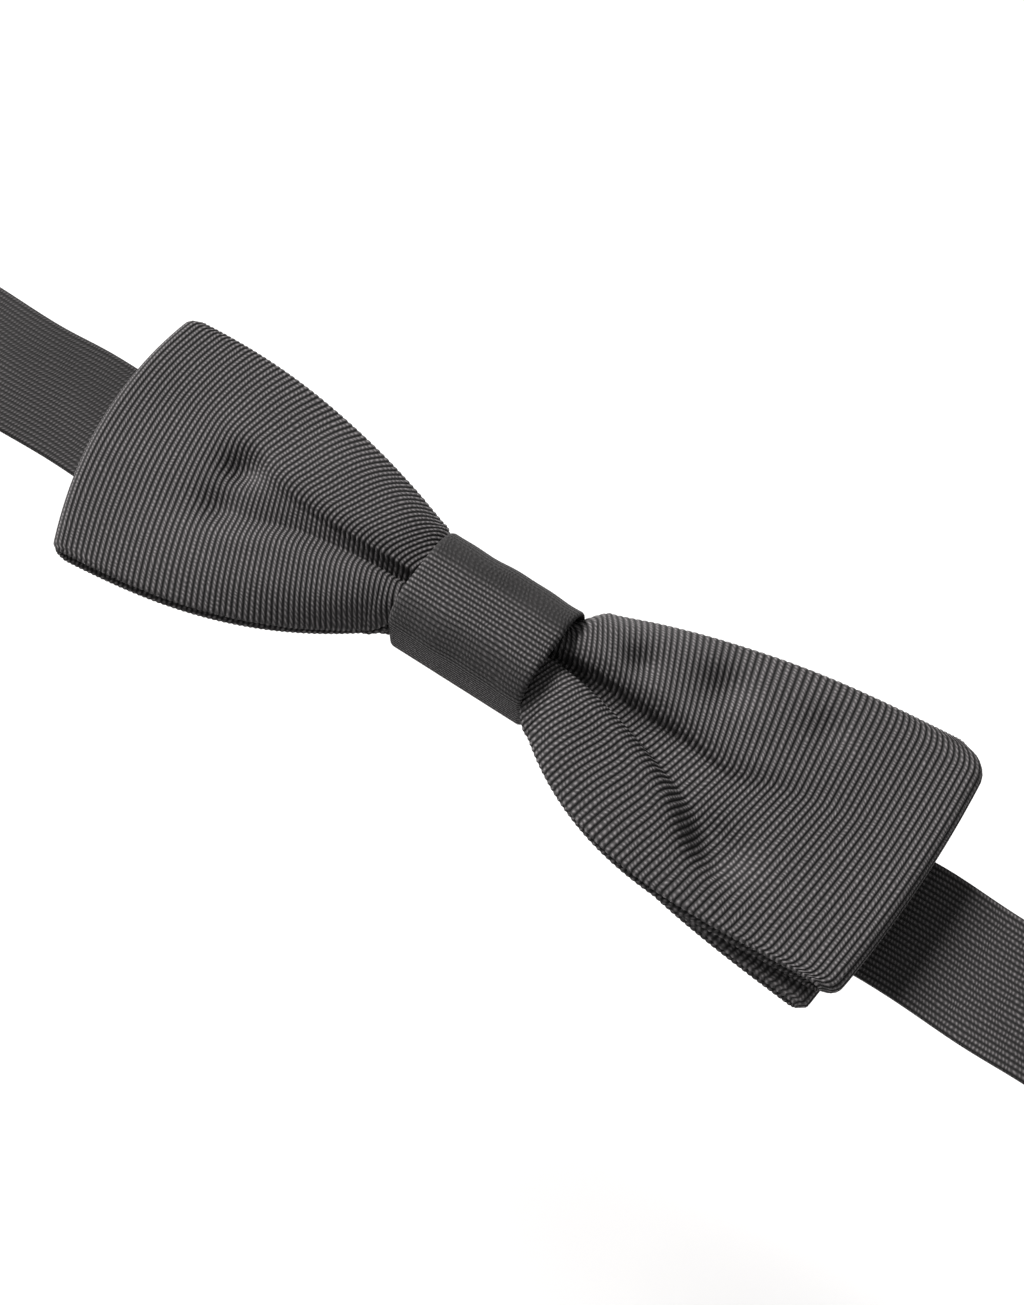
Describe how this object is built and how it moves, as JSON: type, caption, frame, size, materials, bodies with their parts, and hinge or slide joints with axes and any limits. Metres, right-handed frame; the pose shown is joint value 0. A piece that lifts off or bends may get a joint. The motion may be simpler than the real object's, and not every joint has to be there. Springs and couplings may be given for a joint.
{
  "type": "bow tie",
  "caption": "Pre-tied bow tie of ribbed dark grey cloth with layered loops, a wrapped knot and an adjustable neckband that closes with a hook and eye.",
  "frame": {"origin": "on the flat back of the knot, on the neckband's centre line, in the plane that the tie lies on", "axes": "+X along the neckband towards the adjuster, +Y to the top of the bow as worn, +Z out of the bow's front"},
  "size_m": [0.4128, 0.0428, 0.0131],
  "materials": {
    "faille": "ribbed silk-blend faille, soft sheen on the ribs",
    "band_faille": "the same faille, ribs along the band",
    "interlining": "matt woven canvas",
    "wadding": "matt felted wadding",
    "thread": "twisted polyester sewing thread",
    "gunmetal": "dark nickel plate, rubbed bright on its edges"
  },
  "bodies": {
    "bow": {"front_bow": "faille", "front_interlining": "interlining", "rear_bow": "faille", "rear_interlining": "interlining", "waist_binding_thread": "thread", "knot_padding": "wadding", "knot_wrap": "faille", "knot_closing_stitches": "thread", "neckband_centre": "band_faille"},
    "band_left_1": {"neckband_left_1": "band_faille"},
    "band_left_2": {"neckband_left_2": "band_faille"},
    "band_left_3": {"neckband_left_3": "band_faille", "hook_bar_tack": "thread"},
    "hook": {"hook": "gunmetal"},
    "band_right_1": {"neckband_right_1": "band_faille"},
    "band_right_2": {"neckband_right_2": "band_faille"},
    "band_right_3": {"neckband_right_3": "band_faille"},
    "slider": {"slider": "gunmetal", "slider_fold": "band_faille", "slider_bar_tack": "thread", "adjuster_run_lower": "band_faille"},
    "eye_loop": {"adjuster_turn": "band_faille", "adjuster_run_upper": "band_faille"},
    "eye": {"eye": "gunmetal"}
  },
  "joints": [
    {"name": "left_curl", "type": "hinge", "parent": "bow", "child": "band_left_1", "pos_m": [-0.03, 0, 0.0005], "axis": [0, -1, 0], "range_deg": [0, 60]},
    {"name": "left_curl_2", "type": "hinge", "parent": "band_left_1", "child": "band_left_2", "pos_m": [-0.112, 0, 0.0005], "axis": [0, -1, 0], "range_deg": [0, 60]},
    {"name": "left_curl_3", "type": "hinge", "parent": "band_left_2", "child": "band_left_3", "pos_m": [-0.156, 0, 0.0005], "axis": [0, -1, 0], "range_deg": [0, 60]},
    {"name": "hook_pivot", "type": "hinge", "parent": "band_left_3", "child": "hook", "pos_m": [-0.1665, 0, 0.002], "axis": [0, -1, 0], "range_deg": [-75, 75]},
    {"name": "right_curl", "type": "hinge", "parent": "bow", "child": "band_right_1", "pos_m": [0.03, 0, 0.0005], "axis": [0, 1, 0], "range_deg": [0, 60]},
    {"name": "right_curl_2", "type": "hinge", "parent": "band_right_1", "child": "band_right_2", "pos_m": [0.112, 0, 0.0005], "axis": [0, 1, 0], "range_deg": [0, 60]},
    {"name": "right_curl_3", "type": "hinge", "parent": "band_right_2", "child": "band_right_3", "pos_m": [0.156, 0, 0.0005], "axis": [0, 1, 0], "range_deg": [0, 60]},
    {"name": "slider_slide", "type": "slide", "parent": "band_right_3", "child": "slider", "axis": [1, 0, 0], "range_m": [-0.022, 0.014], "deforming": ["adjuster_run_lower"]},
    {"name": "eye_loop_slide", "type": "slide", "parent": "band_right_3", "child": "eye_loop", "axis": [1, 0, 0], "range_m": [-0.011, 0.007], "deforming": ["adjuster_run_upper"]},
    {"name": "eye_pivot", "type": "hinge", "parent": "eye_loop", "child": "eye", "pos_m": [0.2222, 0, 0.00265], "axis": [0, -1, 0], "range_deg": [-75, 75]}
  ],
  "couplings": [
    {"joint": "left_curl_2", "follows": "left_curl", "ratio": 1},
    {"joint": "left_curl_3", "follows": "left_curl", "ratio": 1},
    {"joint": "right_curl_2", "follows": "right_curl", "ratio": 1},
    {"joint": "right_curl_3", "follows": "right_curl", "ratio": 1},
    {"joint": "eye_loop_slide", "follows": "slider_slide", "ratio": 0.5}
  ]
}
